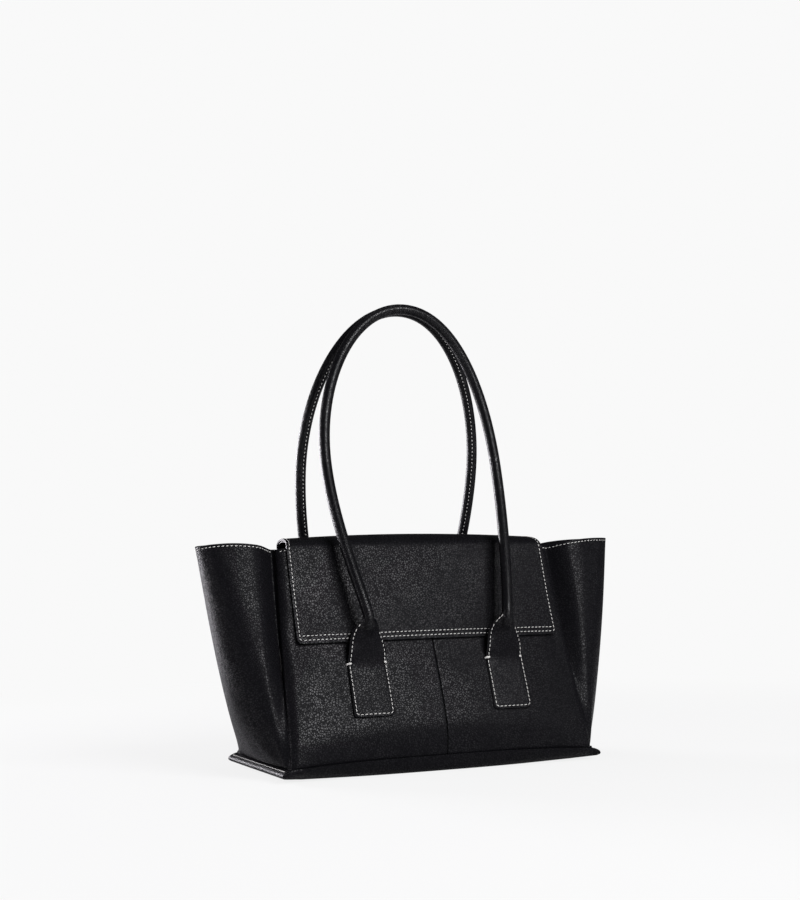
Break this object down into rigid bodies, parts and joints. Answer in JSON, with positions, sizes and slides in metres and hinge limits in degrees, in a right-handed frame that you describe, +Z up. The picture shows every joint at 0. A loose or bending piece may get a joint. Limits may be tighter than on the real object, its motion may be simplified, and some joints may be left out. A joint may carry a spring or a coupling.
{
  "type": "flap tote bag",
  "caption": "Winged leather tote bag with a front flap tucked behind its handle tabs and rolled shoulder handles, standing on a boat-shaped base.",
  "frame": {"origin": "centre of the base, on the surface the bag stands on", "axes": "+Z up, front face towards -Y, +X to the right when seen from the front"},
  "size_m": [0.4568, 0.177, 0.472],
  "materials": {
    "leather": "black pebbled leather, satin",
    "handle_leather": "black smooth leather, satin, painted edges",
    "lining": "dark woven lining, matt",
    "felt": "felt padding, matt",
    "fibreboard": "bonded bag board, matt",
    "cord": "twisted cotton cord, matt"
  },
  "bodies": {
    "bag": {"front_panel_left": "leather", "front_panel_right": "leather", "back_panel": "leather", "gusset_left": "leather", "gusset_right": "leather", "base_panel": "leather", "base_pad": "felt", "base_board": "fibreboard", "lining": "lining", "mouth_facing_front": "leather", "mouth_facing_back": "leather", "mouth_facing_left": "leather", "mouth_facing_right": "leather", "flap_back_strip": "leather", "front_handle_tab_left": "handle_leather", "front_handle_tab_right": "handle_leather", "back_handle_tab_left": "handle_leather", "back_handle_tab_right": "handle_leather"},
    "flap_top": {"flap_upper": "leather", "flap_upper_lining": "lining"},
    "flap_end": {"flap_lower": "leather", "flap_lower_lining": "lining"},
    "front_necks": {"front_handle_neck_left": "handle_leather", "front_handle_neck_right": "handle_leather"},
    "front_handle": {"front_handle_sleeve": "handle_leather", "front_handle_core": "cord"},
    "back_necks": {"back_handle_neck_left": "handle_leather", "back_handle_neck_right": "handle_leather"},
    "back_handle": {"back_handle_sleeve": "handle_leather", "back_handle_core": "cord"}
  },
  "joints": [
    {"name": "flap_lift", "type": "hinge", "parent": "bag", "child": "flap_top", "pos_m": [0, 0.0258, 0.2188], "axis": [-1, 0, 0], "range_deg": [0, 150]},
    {"name": "flap_bend", "type": "hinge", "parent": "flap_top", "child": "flap_end", "pos_m": [0, -0.03782, 0.17222], "axis": [-1, 0, 0], "range_deg": [-150, 0]},
    {"name": "front_neck_fall", "type": "hinge", "parent": "bag", "child": "front_necks", "pos_m": [0, -0.06218, 0.10649], "axis": [1, 0, 0], "range_deg": [0, 105]},
    {"name": "back_neck_fall", "type": "hinge", "parent": "bag", "child": "back_necks", "pos_m": [0, 0.06218, 0.10649], "axis": [-1, 0, 0], "range_deg": [0, 105]},
    {"name": "front_handle_fold", "type": "hinge", "parent": "front_necks", "child": "front_handle", "pos_m": [0, -0.07643, 0.1374], "axis": [1, 0, 0], "range_deg": [0, 70]},
    {"name": "back_handle_fold", "type": "hinge", "parent": "back_necks", "child": "back_handle", "pos_m": [0, 0.07643, 0.1374], "axis": [-1, 0, 0], "range_deg": [0, 70]}
  ],
  "couplings": [
    {"joint": "flap_bend", "follows": "flap_lift", "ratio": -1},
    {"joint": "front_neck_fall", "follows": "flap_lift", "ratio": 0.7},
    {"joint": "back_neck_fall", "follows": "flap_lift", "ratio": 0.7}
  ]
}
